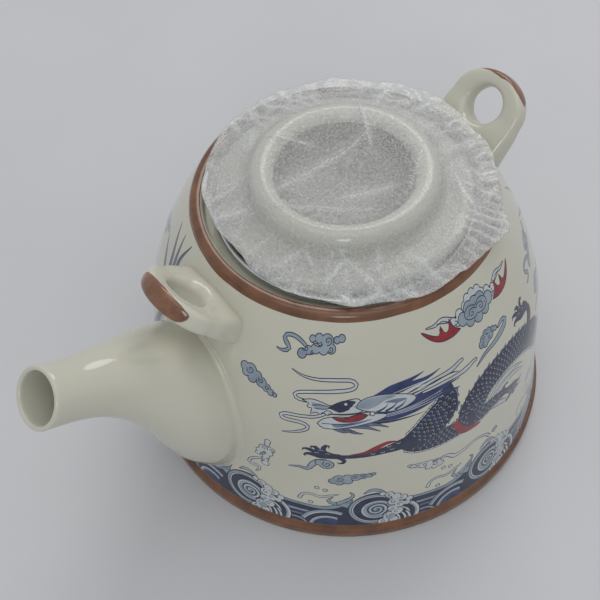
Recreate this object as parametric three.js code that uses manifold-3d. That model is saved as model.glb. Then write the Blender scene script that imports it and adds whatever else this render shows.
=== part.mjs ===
// A porcelain bail-handle teapot with a stainless infuser and an upturned lid in a film wrap.
// Millimetres, +Z up, spout towards -X. Everything is built about the pot's own axis, and the
// finished group is slid along X so that the origin is the middle of the bottom of its box.

import * as THREE from 'three';
import { mergeVertices } from 'three/addons/utils/BufferGeometryUtils.js';
import Module from 'manifold-3d';

const wasm = await Module();
wasm.setup();

// ---- Driving dimensions ----

const GAP = 0.3; // clearance between pieces that touch
const FOOT_R = 70;
const RIM_R = 47.5;
const RIM_Z = 94.3; // top of the pot's lip
const SHOULDER_Z = 91; // where the outer wall meets the lip
const WALL = 4.5; // porcelain thickness
const MOUTH_R = 43.4;
const LEDGE_R = 38.8; // inner edge of the ledge that carries the infuser
const LEDGE_Z = 89.7;
const FLOOR_Z = 8;

const PORT_R = 10; // hole through the wall behind the spout
const PORT_Z = 45;
const LIP_R = 9.2;
const BORE_R = 7.6;
const HEEL_WALL = 3.2; // the spout's wall thins from this at its heel to its lip

const LUG_TILT = 0.84; // radians that each lug stands above level
const LUG_EYE_X = 61.1;
const LUG_EYE_Z = 91.8;
const LUG_EYE_R = 6;
const LUG_TOP = 11.4; // from the eye's centre to the lug's outer edge
const LUG_HALF_WIDTH = 13.8;
const LUG_THICKNESS = 9;
const LUG_ROUND = 2.8;

const BEAD_R = 39.3; // rolled rim of the infuser
const BEAD_MINOR_R = 1.1;
const SHEET = 0.6; // stainless sheet
const INFUSER_WALL_R = 37;
const INFUSER_TOP_Z = 88; // top of its wall, inside the rim's collar
const INFUSER_BOTTOM_Z = 42;
const COLLAR_BOTTOM_Z = 84;

const LID_R = 39.4;
const LID_FACE_Z = 96.8; // the lid lies upside down, and this is its underside
const FLANGE_R = 28.8;
const FLANGE_BORE_R = 21.2;
const FLANGE_TOP_Z = 105.4;
const CROWN_Z = 84; // lowest point of the lid's dome
const KNOB_R = 11.5;
const KNOB_BOTTOM_Z = 60;

const FILM = 0.8; // thickness of the wrap with its folds
const BRIM_Z = 95.2;
const BRIM_R = 45;
const BRIM_SHIFT = 4.5;
const WRAP_EDGE_R = 40.2; // where the wrap leaves the lid's edge for its brim
const TAIL_ROOT = 40.6;
const TAIL_TIP = 52;
const TAIL_HEIGHT = 2.6;

const BODY_TURNS = 48;
const RING_TURNS = 40;

// ---- Helpers ----

const point = (x, y) => new THREE.Vector2(x, y);

// Points of an arc in a profile, from one angle to another in degrees.
function arc(x, y, radius, from, to, steps) {
  const points = [];
  for (let i = 0; i <= steps; i += 1) {
    const a = THREE.MathUtils.degToRad(from + ((to - from) * i) / steps);
    points.push(point(x + radius * Math.cos(a), y + radius * Math.sin(a)));
  }
  return points;
}

// A smooth stretch of a profile through its few shaping points.
function smooth(points, steps) {
  return new THREE.SplineCurve(points.map(([x, y]) => point(x, y))).getPoints(steps);
}

// A solid of revolution about Z. The profile runs anticlockwise in (radius, height), and it
// starts and ends on the axis or, with closed, joins up on itself.
function turned(profile, turns, closed = false) {
  const points = closed ? [...profile, profile[0]] : profile;
  return new THREE.LatheGeometry(points, turns).rotateX(Math.PI / 2);
}

function toManifold(geometry) {
  const bare = geometry.clone();
  bare.deleteAttribute('normal');
  bare.deleteAttribute('uv');
  const merged = mergeVertices(bare, 1e-4);
  const mesh = new wasm.Mesh({
    numProp: 3,
    vertProperties: Float32Array.from(merged.attributes.position.array),
    triVerts: Uint32Array.from(merged.index.array),
  });
  mesh.merge();
  return new wasm.Manifold(mesh);
}

function toGeometry(manifold) {
  const mesh = manifold.getMesh();
  const geometry = new THREE.BufferGeometry();
  geometry.setAttribute('position', new THREE.BufferAttribute(mesh.vertProperties, 3));
  geometry.setIndex(new THREE.BufferAttribute(mesh.triVerts, 1));
  geometry.computeVertexNormals();
  return geometry;
}

// A spout-like solid through oval sections, each seen from the side as a top point, a bottom
// point and its half width in Y: [topX, topZ, bottomX, bottomZ, halfWidth]. Both ends are flat.
function ovalLoft(sections, rings, sides) {
  const top = new THREE.SplineCurve(sections.map(([x, z]) => point(x, z)));
  const bottom = new THREE.SplineCurve(sections.map(([, , x, z]) => point(x, z)));
  const width = new THREE.SplineCurve(sections.map(([, , , , w], i) => point(i, w)));
  const positions = [];
  const index = [];
  for (let i = 0; i <= rings; i += 1) {
    const [up, down, half] = [top, bottom, width].map((curve) => curve.getPoint(i / rings));
    const middle = up.clone().add(down).multiplyScalar(0.5);
    const rise = up.sub(middle);
    for (let k = 0; k < sides; k += 1) {
      const a = (2 * Math.PI * k) / sides;
      const here = middle.clone().addScaledVector(rise, Math.cos(a));
      positions.push(here.x, half.y * Math.sin(a), here.y);
    }
  }
  for (let i = 0; i < rings; i += 1) {
    for (let k = 0; k < sides; k += 1) {
      const [a, b] = [i * sides + k, i * sides + ((k + 1) % sides)];
      index.push(a, b, a + sides, b, b + sides, a + sides);
    }
  }
  const last = rings * sides;
  for (let k = 1; k < sides - 1; k += 1) {
    index.push(0, k + 1, k, last, last + k, last + k + 1);
  }
  const geometry = new THREE.BufferGeometry();
  geometry.setAttribute('position', new THREE.Float32BufferAttribute(positions, 3));
  geometry.setIndex(index);
  return geometry;
}

// The same sections drawn in by a wall that thins from the root to the lip.
function drawnIn(sections, rootWall, lipWall) {
  return sections.map(([topX, topZ, bottomX, bottomZ, half], i) => {
    const wall = THREE.MathUtils.lerp(rootWall, lipWall, i / (sections.length - 1));
    const [top, bottom] = [point(topX, topZ), point(bottomX, bottomZ)];
    const inwards = bottom.clone().sub(top).setLength(wall);
    top.add(inwards);
    bottom.sub(inwards);
    return [top.x, top.y, bottom.x, bottom.y, half - wall];
  });
}

const finishes = {
  porcelain: { color: 0xd9d8c8, roughness: 0.15, metalness: 0 },
  steel: { color: 0xb9bcbd, roughness: 0.3, metalness: 1 },
  film: { color: 0xdedfdc, roughness: 0.4, metalness: 0 },
};

const teapot = new THREE.Group();
teapot.name = 'teapot';

function add(name, geometry, finish) {
  const mesh = new THREE.Mesh(geometry, new THREE.MeshStandardMaterial(finishes[finish]));
  mesh.name = name;
  teapot.add(mesh);
}

// ---- Pot body ----

// Outer wall from just above the foot band to just under the lip, moved outwards by grow.
function outerWall(grow, steps) {
  const shape = [[68.9, 6], [66.3, 28], [64.2, 52], [60, 67.5], [54, 81], [48.2, SHOULDER_Z]];
  return smooth(shape.map(([r, z]) => [r + grow, z]), steps);
}

function potBody() {
  const foot = [point(0, 3), point(62.5, 2.6), point(64, 0), point(FOOT_R - 1, 0),
    point(FOOT_R, 1), point(FOOT_R, 4.6)];
  const lip = arc(RIM_R - 2, RIM_Z - 2, 2, 0, 90, 3);
  const lipInside = arc(MOUTH_R + 1.4, RIM_Z - 1.4, 1.4, 90, 180, 2);
  const ledge = [point(MOUTH_R - 0.5, LEDGE_Z), point(LEDGE_R, LEDGE_Z), point(LEDGE_R, LEDGE_Z - 4)];
  const inside = smooth([[46, 84.5], [49.5, 80.5], [55.5, 67.5], [59.7, 52], [61.8, 28], [62.2, 16]], 7);
  const floor = [point(60, 10.5), point(56, FLOOR_Z), point(0, FLOOR_Z)];
  return turned([...foot, ...outerWall(0, 10), ...lip, ...lipInside, ...ledge, ...inside, ...floor],
    BODY_TURNS);
}

// The room that the pot takes up, grown by the clearance, for trimming what is luted onto it.
const potRoom = toManifold(turned([point(0, 0), point(FOOT_R + GAP, 0), point(FOOT_R + GAP, 5),
  ...outerWall(GAP, 10), point(0, SHOULDER_Z)], BODY_TURNS));

// The wall's hole behind the spout.
const port = toManifold(new THREE.CylinderGeometry(PORT_R, PORT_R, 2 * WALL + 12, 24)
  .rotateZ(Math.PI / 2).translate(-62, 0, PORT_Z));

add('pot_body', toGeometry(toManifold(potBody()).subtract(port)), 'porcelain');

// ---- Spout ----

// From the root inside the pot's wall, round the fat heel and up the neck to the lip.
const spoutSections = [[-46, 66, -54, 12, 19], [-56, 71.5, -66, 12.5, 22], [-61, 74.5, -75, 24, 21.5],
  [-66, 77.3, -80, 36, 20], [-71.5, 80.8, -84, 48.5, 16.8], [-78, 84.2, -89, 60, 13.3],
  [-87, 88.2, -96.5, 70, 10.3], [-96, 91.8, -104.5, 76, 9.1], [-103.9, 96.2, -114.9, 81.4, LIP_R]];
const boreSections = drawnIn(spoutSections, HEEL_WALL, LIP_R - BORE_R);
const [topX, topZ, bottomX, bottomZ] = boreSections.at(-1);
boreSections.push([topX - 2, topZ + 1.5, bottomX - 2, bottomZ + 1.5, BORE_R]);

const spoutOutside = toManifold(ovalLoft(spoutSections, 20, 24));
const spoutBore = toManifold(ovalLoft(boreSections, 18, 20));
add('spout', toGeometry(spoutOutside.subtract(spoutBore).subtract(potRoom)), 'porcelain');

// ---- Lugs for the bail handle ----

// An upright ear with its eye's centre at the origin and its root below.
function earGeometry() {
  const [side, top] = [LUG_HALF_WIDTH - LUG_ROUND, LUG_TOP - LUG_ROUND];
  const ear = new THREE.Shape();
  ear.moveTo(-14, -19);
  ear.lineTo(14, -19);
  ear.bezierCurveTo(12, -12, side, -8, side, -1.5);
  ear.bezierCurveTo(side, 4.5, 6, top, 0, top);
  ear.bezierCurveTo(-6, top, -side, 4.5, -side, -1.5);
  ear.bezierCurveTo(-side, -8, -12, -12, -14, -19);
  return new THREE.ExtrudeGeometry(ear, {
    depth: LUG_THICKNESS - 2 * LUG_ROUND,
    curveSegments: 7,
    bevelEnabled: true,
    bevelThickness: LUG_ROUND,
    bevelSize: LUG_ROUND,
    bevelSegments: 2,
  }).translate(0, 0, LUG_ROUND - LUG_THICKNESS / 2);
}

// The eye's room, which flares towards both faces.
function eyeGeometry() {
  const half = LUG_THICKNESS / 2;
  const waist = LUG_EYE_R + LUG_ROUND;
  const lower = arc(waist, LUG_ROUND - half, LUG_ROUND, 270, 180, 3);
  const upper = arc(waist, half - LUG_ROUND, LUG_ROUND, 180, 90, 3);
  return turned([point(0, -half - 1), point(waist, -half - 1), ...lower, ...upper,
    point(waist, half + 1), point(0, half + 1)], 20);
}

// side is +1 at the back and -1 over the spout.
function addLug(name, side) {
  const lug = toManifold(earGeometry()).subtract(toManifold(eyeGeometry()));
  const placed = toGeometry(lug)
    .rotateX(Math.PI / 2)
    .rotateZ(-Math.PI / 2)
    .rotateY(Math.PI / 2 - LUG_TILT)
    .translate(LUG_EYE_X, 0, LUG_EYE_Z);
  if (side < 0) placed.rotateZ(Math.PI);
  add(name, toGeometry(toManifold(placed).subtract(potRoom)), 'porcelain');
}
addLug('front_lug', -1);
addLug('rear_lug', 1);

// ---- Infuser ----

function infuserRim() {
  const collarInside = INFUSER_WALL_R + GAP;
  const collarOutside = collarInside + SHEET;
  const bead = arc(BEAD_R, LEDGE_Z + 0.4 + BEAD_MINOR_R, BEAD_MINOR_R, -120, 190, 7);
  return turned([point(collarInside, COLLAR_BOTTOM_Z), point(collarOutside, COLLAR_BOTTOM_Z),
    point(collarOutside, 89.8),
    ...bead, point(collarInside, 90.2)], RING_TURNS, true);
}

function infuserWall() {
  const [inside, outside] = [INFUSER_WALL_R - SHEET, INFUSER_WALL_R];
  return turned([point(inside, INFUSER_BOTTOM_Z), point(outside, INFUSER_BOTTOM_Z),
    point(outside, INFUSER_TOP_Z), point(inside, INFUSER_TOP_Z)], RING_TURNS, true);
}

function infuserBottom() {
  const r = INFUSER_WALL_R - SHEET - GAP;
  const z = INFUSER_BOTTOM_Z;
  return turned([point(0, z), point(r - 0.8, z), point(r, z + 0.8), point(r, z + 4),
    point(r - SHEET, z + 4), point(r - SHEET, z + 1), point(r - 1, z + SHEET), point(0, z + SHEET)],
  RING_TURNS);
}

add('infuser_rim', infuserRim(), 'steel');
add('infuser_wall', infuserWall(), 'steel');
add('infuser_bottom', infuserBottom(), 'steel');

// ---- Lid, upside down in the mouth ----

// The flange's rounded top, from outside to inside, moved outwards by grow.
function flangeTop(grow, steps) {
  const middle = (FLANGE_R + FLANGE_BORE_R) / 2;
  const half = (FLANGE_R - FLANGE_BORE_R) / 2;
  return arc(middle, FLANGE_TOP_Z - half, half + grow, 0, 180, steps);
}

function lidShell() {
  const crown = smooth([[0, CROWN_Z], [12, 84.8], [28, 88.3], [38.2, 92.2]], 6);
  const edge = arc(LID_R - 1.8, LID_FACE_Z - 1.8, 1.8, -20, 90, 3);
  const fillet = arc(FLANGE_R + 2.6, LID_FACE_Z + 2.4, 2.4, 270, 190, 3);
  const hollow = smooth([[FLANGE_BORE_R - 0.4, 98], [19, 94], [13, 91.3], [0, 90.2]], 5);
  return turned([...crown, ...edge, ...fillet, ...flangeTop(0, 6), ...hollow], RING_TURNS);
}

function lidKnob() {
  const centre = KNOB_BOTTOM_Z + KNOB_R * 0.86;
  const ball = smooth([[0, KNOB_BOTTOM_Z], [KNOB_R * 0.62, KNOB_BOTTOM_Z + 1.8], [KNOB_R, centre],
    [KNOB_R * 0.8, centre + 6], [6, centre + 9], [5.6, centre + 11.5]], 11);
  return turned([...ball, point(8, CROWN_Z - GAP), point(0, CROWN_Z - GAP)], 24);
}

add('lid_shell', lidShell(), 'porcelain');
add('lid_knob', lidKnob(), 'porcelain');

// ---- Film wrap over the lid ----

// The film spans the lid's flange and hangs to its face.
function wrapCap() {
  const low = [point(0, FLANGE_TOP_Z - 0.6), ...flangeTop(0.4, 6).reverse().slice(2),
    point(FLANGE_R + 1.3, 99.4), point(FLANGE_R + 3, 97.6), point(37.8, LID_FACE_Z + 0.4),
    point(WRAP_EDGE_R, BRIM_Z)];
  const high = [point(WRAP_EDGE_R + 1, BRIM_Z), point(WRAP_EDGE_R + 1, BRIM_Z + FILM),
    point(38, LID_FACE_Z + 0.4 + FILM),
    point(FLANGE_R + 3.4, 98.4), point(FLANGE_R + 2.1, 99.8), ...flangeTop(0.4 + FILM, 6).slice(0, -2),
    point(0, FLANGE_TOP_Z - 0.6 + FILM)];
  return turned([...low, ...high], RING_TURNS);
}

// Its brim spreads over the mouth and, off centre, over the lip at the back.
function wrapBrim() {
  const outline = new THREE.Shape();
  const shift = point(BRIM_SHIFT, 0).rotateAround(point(0, 0), THREE.MathUtils.degToRad(40));
  outline.absarc(shift.x, shift.y, BRIM_R, 0, 2 * Math.PI);
  const hole = new THREE.Path();
  hole.absarc(0, 0, WRAP_EDGE_R, 0, 2 * Math.PI, true);
  outline.holes.push(hole);
  return new THREE.ExtrudeGeometry(outline, { depth: FILM, bevelEnabled: false, curveSegments: 24 })
    .translate(0, 0, BRIM_Z);
}

// The gathered end of the bag, a flat wedge lying out over the lip.
function wrapTail() {
  const outline = new THREE.Shape([point(TAIL_ROOT, -7), point(TAIL_TIP, -5), point(TAIL_TIP, 5),
    point(TAIL_ROOT, 7)]);
  return new THREE.ExtrudeGeometry(outline, { depth: TAIL_HEIGHT, bevelEnabled: false })
    .translate(0, 0, BRIM_Z)
    .rotateZ(THREE.MathUtils.degToRad(-62));
}

const wrap = toManifold(wrapCap()).add(toManifold(wrapBrim())).add(toManifold(wrapTail()));
add('lid_wrap', toGeometry(wrap), 'film');

// ---- Origin ----

const box = new THREE.Box3().setFromObject(teapot);
teapot.position.x = -(box.min.x + box.max.x) / 2;
teapot.position.y = -(box.min.y + box.max.y) / 2;

export default teapot;
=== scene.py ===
"""A porcelain teapot with cobalt dragon decoration, its infuser, and its lid upside down in a film wrap.

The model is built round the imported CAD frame. Shapes are worked out in millimetres about the pot's own
axis, with the spout towards -X, and place() brings them into the frame's metres.
"""
import math
import random

import bpy
import numpy as np
from mathutils import Matrix, Vector, noise
from mathutils.geometry import delaunay_2d_cdt


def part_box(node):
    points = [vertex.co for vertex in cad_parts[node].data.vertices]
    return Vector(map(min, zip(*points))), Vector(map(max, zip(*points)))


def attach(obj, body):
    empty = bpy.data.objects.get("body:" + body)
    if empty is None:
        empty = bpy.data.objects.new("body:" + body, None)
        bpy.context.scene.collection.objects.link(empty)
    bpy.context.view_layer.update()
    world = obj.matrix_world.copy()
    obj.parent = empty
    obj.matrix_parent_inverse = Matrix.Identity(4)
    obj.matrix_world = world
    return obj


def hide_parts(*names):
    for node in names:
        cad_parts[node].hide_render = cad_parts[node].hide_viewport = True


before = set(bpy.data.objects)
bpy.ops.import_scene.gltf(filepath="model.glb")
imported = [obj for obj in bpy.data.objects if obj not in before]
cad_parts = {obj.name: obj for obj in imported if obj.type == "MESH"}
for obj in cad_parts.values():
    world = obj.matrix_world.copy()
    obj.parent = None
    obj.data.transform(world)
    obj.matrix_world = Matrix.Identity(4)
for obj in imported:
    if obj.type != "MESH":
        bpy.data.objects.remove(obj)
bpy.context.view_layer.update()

MM = 0.001
AXIS_X = sum(corner.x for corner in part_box("infuser_wall")) / 2 / MM  # the pot's axis in the frame


# ---- Curves ----

def catmull(points, steps):
    """A smooth curve of steps + 1 points through the given ones, even in its parameter."""
    knots = np.asarray(points, float)
    t = np.linspace(0, len(knots) - 1, steps + 1)
    k = np.minimum(t.astype(int), len(knots) - 2)
    w = (t - k)[:, None]
    before, here = knots[np.maximum(k - 1, 0)], knots[k]
    there, after = knots[k + 1], knots[np.minimum(k + 2, len(knots) - 1)]
    leave, arrive = (there - before) / 2, (after - here) / 2
    return ((2 * here - 2 * there + leave + arrive) * w ** 3
            + (3 * there - 3 * here - 2 * leave - arrive) * w ** 2 + leave * w + here)


def arc(x, y, radius, start, end, steps):
    """Points of an arc, with its angles in degrees."""
    a = np.radians(np.linspace(start, end, steps + 1))
    return np.column_stack([x + radius * np.cos(a), y + radius * np.sin(a)])


def lengths(points):
    """How far along a line of points each one is."""
    return np.concatenate([[0], np.cumsum(np.linalg.norm(np.diff(points, axis=0), axis=1))])


def evenly(points, spacing):
    """The same line with its points about spacing apart."""
    along = lengths(points)
    count = max(2, int(math.ceil(along[-1] / spacing)))
    places = np.linspace(0, along[-1], count + 1)
    return np.column_stack([np.interp(places, along, points[:, i]) for i in range(points.shape[1])])


def unit(vectors):
    return vectors / np.maximum(np.linalg.norm(vectors, axis=-1, keepdims=True), 1e-12)


# ---- The pot's wall, unrolled ----

# x runs round the pot from the spout, as on a sheet wrapped at WRAP_R, and y runs up the wall from the
# foot band.
FOOT_R = 70
RIM_Z = 94.3
WALL_SHAPE = [(68.9, 6), (66.3, 28), (64.2, 52), (60, 67.5), (54, 81), (49.2, 89.6), (47.5, 92.3)]
WRAP_R = 66
GIRTH = 2 * math.pi * WRAP_R
wall_line = catmull(WALL_SHAPE, 240)
wall_run = lengths(wall_line) + math.dist(WALL_SHAPE[0], (FOOT_R, 4.6))
SHEET_LOW, SHEET_HIGH = wall_run[0], wall_run[-1]


def on_wall(sheet):
    """Points of the unrolled sheet on the pot's outer wall, and the wall's normals there."""
    angle = math.pi + sheet[:, 0] / WRAP_R
    radius = np.interp(sheet[:, 1], wall_run, wall_line[:, 0])
    height = np.interp(sheet[:, 1], wall_run, wall_line[:, 1])
    slope = unit(np.gradient(wall_line, axis=0))
    lean = np.interp(sheet[:, 1], wall_run, slope[:, 1])
    rise = -np.interp(sheet[:, 1], wall_run, slope[:, 0])
    points = np.column_stack([radius * np.cos(angle), radius * np.sin(angle), height])
    normals = unit(np.column_stack([lean * np.cos(angle), lean * np.sin(angle), rise]))
    return points, normals


def outside_wall(points):
    """About how far points are outside the pot's wall."""
    radius = np.hypot(points[..., 0], points[..., 1])
    return radius - np.interp(points[..., 2], wall_line[:, 1], wall_line[:, 0])


# ---- Drawing ----

PORCELAIN, BROWN, INK, COBALT, MIDDLE, WASH, PALE, RED, SCALE = range(9)
LINE = 0.34


class Pen:
    """Draws a motif in its own millimetres and lays the marks on the sheet, later ones on top."""

    def __init__(self, marks, x=0, y=0, scale=1, angle=0, flip=1):
        self.marks = marks
        turn = math.radians(angle)
        self.matrix = scale * np.array([[math.cos(turn), -math.sin(turn)], [math.sin(turn), math.cos(turn)]])
        self.matrix = self.matrix @ np.diag([flip, 1])
        self.shift = np.array([x, y], float)
        self.scale = scale

    def _add(self, points, tone):
        placed = np.asarray(points, float) @ self.matrix.T + self.shift
        rolled = np.roll(placed, -1, axis=0)
        area = np.sum(placed[:, 0] * rolled[:, 1] - rolled[:, 0] * placed[:, 1])
        self.marks.append((placed if area > 0 else placed[::-1], tone))

    def fill(self, outline, tone, steps=4):
        """A closed smooth outline through a few points."""
        loop = [outline[-1], *outline, outline[0], outline[1]]
        curve = catmull(loop, (len(loop) - 1) * steps)
        self._add(curve[steps:-2 * steps], tone)

    def stroke(self, points, width, tone=INK, spacing=1.3):
        """A brush stroke. Its width is one number or the widths along it."""
        line = evenly(catmull(points, 12 * len(points)), spacing / self.scale)
        widths = np.atleast_1d(np.asarray(width, float))
        along = np.linspace(0, 1, len(line))
        half = np.maximum(np.interp(along, np.linspace(0, 1, len(widths)), widths), 0.08) / 2
        aside = unit(np.gradient(line, axis=0)) @ np.array([[0, 1], [-1, 0]])
        left, right = line + aside * half[:, None], line - aside * half[:, None]
        for i in range(len(line) - 1):
            self._add([left[i], left[i + 1], right[i + 1], right[i]], tone)
        for end in (0, -1):
            if half[end] > 0.25:
                self.disc(*line[end], half[end], tone, 10)

    def ribbon(self, points, width, tone=PALE, line=LINE):
        """A band of colour with an ink outline."""
        widths = np.atleast_1d(np.asarray(width, float))
        self.stroke(points, widths + line, INK)
        self.stroke(points, np.maximum(widths - line, 0), tone)

    def shape(self, outline, tone, line=LINE, steps=4):
        """A filled outline with an ink line round it."""
        self.fill(outline, tone, steps)
        self.stroke([*outline, outline[0]], line)

    def disc(self, x, y, radius, tone, sides=13):
        self._add(arc(x, y, radius, 0, 360 - 360 / sides, sides - 1), tone)

    def target(self, x, y, sides, discs):
        """Discs about one centre, each a radius and a tone, from the widest in."""
        for radius, tone in discs:
            self.disc(x, y, radius, tone, sides)

    def lobes(self, discs, tone=WASH, line=LINE):
        """A cloud of overlapping discs with one ink outline round them all."""
        for x, y, radius in discs:
            self.disc(x, y, radius + line / 2, INK)
        for x, y, radius in discs:
            self.disc(x, y, radius - line / 2, tone)

    def curl(self, x, y, radius, start=0, turns=1.4, line=LINE, tone=INK):
        """A spiral that winds in from its radius."""
        t = np.linspace(0, 1, max(8, int(10 * turns)))
        a = math.radians(start) + 2 * math.pi * turns * t
        r = radius * (1 - 0.85 * t)
        self.stroke(np.column_stack([x + r * np.cos(a), y + r * np.sin(a)]), line, tone, 0.7)


def running_cloud(pen, tone=WASH):
    """A small cloud with its lobes in a row, about 16 mm long."""
    pen.lobes([(-6.4, 0.3, 1.6), (-4, 1, 2.3), (-1, 1.4, 1.6), (1.4, 0.5, 1.9), (-1.8, -0.9, 1.7),
               (3.9, 0.3, 1.5), (6, 0, 1.2), (-4.7, -1, 1.5), (7.4, 0.2, 0.8)], tone)
    pen.curl(-4, 0.9, 1.5, 200)
    pen.curl(1, 0.9, 1.1, 160)
    pen.curl(4.1, 0.4, 0.9, 140)
    pen.curl(6.9, 0.2, 0.6, 120, 1)


def knotted_cloud(pen, tone=WASH):
    """A cloud that trails an S-shaped tail to its left."""
    pen.ribbon([(-16.4, -3.2), (-14, -3.6), (-11.8, -2.4), (-14, 0.3), (-13.4, 1.7), (-10.6, 1.9),
                (-7.6, 0.7), (-5.4, -0.9)], [0.2, 1.3, 1.5, 1.2, 1.3, 1], tone)
    pen.lobes([(-7, -3.1, 1.7), (-4.6, -1.8, 1.5), (-2.2, -1, 1.7), (0.6, -1, 1.8), (3.3, -0.6, 1.7),
               (1.9, 1.8, 2.3), (-1.2, 2.4, 1.6), (-3.6, 2, 1.2), (5.4, 2.2, 1.2), (7.2, 2.8, 1.3)], tone)
    pen.curl(2.2, 1.8, 1.5, 250)
    pen.curl(3.2, -0.8, 1.1, 200)
    pen.curl(-3.2, -2.6, 0.9, 90, 1)
    pen.stroke([(-5.8, -0.6), (-4.8, -1.6), (-6, -2.2), (-7.4, -1.4)], LINE)
    pen.stroke([(-3.4, 1.2), (-2.6, 0), (-0.2, -0.2), (0.2, 0.6)], LINE)


def trailing_cloud(pen, tone=WASH):
    """A round cloud whose tail streams back under it to a point."""
    pen.ribbon([(-9.5, -5.2), (-5, -3.4), (1, -2.8), (6.4, -1.6), (8.6, 0), (6.8, 1), (4, 0.4)],
               [0.3, 1.1, 1.3, 1.8, 2, 1.4, 0.8], tone)
    pen.lobes([(-5.2, 0.4, 1.3), (-4, 1.8, 1.2), (-2.2, 2.8, 1.2), (-0.4, 2.6, 1.1), (-3.6, -0.4, 1.2),
               (-2.2, 0.6, 1.5), (-0.4, 0.8, 1.4), (1.2, 1.8, 1.1), (2.6, 1.2, 0.9)], tone)
    for x, y, start in [(-4.6, 0.5, 180), (-3.6, 1.9, 120), (-1.9, 2.6, 90), (-1.4, 0.4, 300), (1, 1.6, 60)]:
        pen.curl(x, y, 0.8, start, 1.1, 0.26)


def great_cloud(pen):
    """The broad cloud with twin curls that flies over the dragon between two flames."""
    for side in (-1, 1):
        wing = Pen(pen.marks, *pen.shift, flip=side)
        wing.ribbon([(22.5, 3.4), (19, 3.2), (15.5, 4), (12, 2.4), (9.5, 1.4)], [0.3, 1, 1.2, 1.6, 1.2], PALE)
        wing.stroke([(18, 3.4), (14, 2.2), (12, 1.8), (9, 3)], LINE)
        wing.lobes([(9.2, 0.6, 1.6), (11.2, 1.4, 1.4), (7.8, 2.4, 1.8)], PALE)
        wing.curl(10.2, 0.4, 0.9, 60, 1, LINE)
        flame = [(9, -2), (13, -3), (18, -2.6), (22, -0.4), (25, 3), (21, 0.6), (18, -0.4), (17, 2.4),
                 (15.6, -0.6), (13.6, 0.2), (12.8, 3.2), (11.6, 0)]
        wing.fill(flame, RED, 3)
        wing.stroke([*flame, flame[0]], LINE)
    pen.lobes([(-2.4, 5.2, 1.7), (0.4, 5.6, 1.8), (3.4, 5.2, 1.8), (-4.4, 3.4, 1.8), (5, 3.4, 1.6)], PALE)
    pen.lobes([(-7, 0.2, 2.3), (7, 0.2, 2.3), (-3.2, 2, 2.6), (3.2, 2, 2.6), (0, 2.6, 2.2), (-4, -1.8, 2),
               (4, -1.8, 2), (0, -2.2, 2.3), (0, 0, 3)], WASH)
    for side in (-1, 1):
        half = Pen(pen.marks, *pen.shift, flip=side)
        half.stroke([(0, 1.6), (2.6, 2.8), (5.2, 2), (6, 0.2), (4.4, -1.4), (1.6, -1.8), (0, -1.2)], LINE)
        half.stroke([(0, 0.6), (1.4, 1.5), (3.2, 1.2), (3.8, 0), (2.8, -0.8), (1.6, -0.4), (1.8, 0.4),
                     (2.6, 0.4)], LINE)


def claw(pen):
    """A dragon's foot with its talons spread to the left, about 12 mm across."""
    pen.fill([(-4, 1.8), (-1, 2.6), (2, 1.2), (4.5, 0.6), (4.5, -1.4), (1, -1.8), (-2.5, -1.8),
              (-4.6, -0.4)], INK)
    for hook in ([(-1, 1.5), (-0.8, 4), (0.6, 5.2), (0.8, 3.6)], [(-2.4, 1.5), (-3.2, 3.6), (-4.8, 3.8),
                                                                  (-4.9, 2.6)], [(-3.2, 1), (-5.2, 2.2),
                                                                                 (-7.2, 2.3), (-7.6, 1.2)],
                 [(-3.2, -0.4), (-5.6, 0), (-7, -0.8), (-6.4, -1.8)], [(3, -0.6), (5, -1.8), (5.6, -3.4),
                                                                       (4, -4.2), (3.2, -3.4)]):
        pen.stroke(hook, [1.9, 1.7, 1.2, 0.2], INK)
    for x, y in [(-1.6, 2.2), (-3, 0.8), (0.4, 0.6)]:
        pen.stroke([(x - 0.8, y), (x, y + 0.3), (x + 0.7, y)], 0.22, SCALE)


def scaly_band(pen, spine, widths, spikes=1, belly=-1):
    """A length of the dragon's body: a dark band with rows of pale scales, a belly and back spikes."""
    line = evenly(catmull(spine, 16 * len(spine)), 1)
    along = np.linspace(0, 1, len(line))
    width = np.interp(along, np.linspace(0, 1, len(widths)), widths)
    ahead = unit(np.gradient(line, axis=0))
    aside = ahead @ np.array([[0, 1], [-1, 0]])
    if spikes:
        for i in range(3, len(line) - 2, 4):
            root = line[i] + spikes * aside[i] * width[i] * 0.46
            tip = root + spikes * aside[i] * 1.3 + ahead[i] * 1.5
            pen.ribbon([root - ahead[i] * 1.4, root, tip], [1.6, 1.2, 0.1], MIDDLE, 0.24)
    edge = line + belly * aside * (width * 0.5 + 0.1)[:, None]
    pen.stroke(edge, 1.3, INK)
    pen.stroke(edge, 0.75, PALE)
    for i in range(1, len(line), 2):
        pen.stroke([edge[i] + aside[i] * 0.5, edge[i] - aside[i] * 0.5], 0.22, INK)
    pen.stroke(spine, widths, INK, 1.4)
    for i in range(2, len(line) - 1, 2):
        rows = max(2, int(width[i] / 1.75))
        for row in range(rows):
            offset = ((row + 0.5) / rows - 0.5) * (width[i] - 1.1)
            middle = line[i] + aside[i] * offset + ahead[i] * (row % 2) * 1.0
            pen.stroke([middle - aside[i] * 0.62 + ahead[i] * 0.5, middle - ahead[i] * 0.28,
                        middle + aside[i] * 0.62 + ahead[i] * 0.5], [0.1, 0.27, 0.1], SCALE, 0.7)


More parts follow.
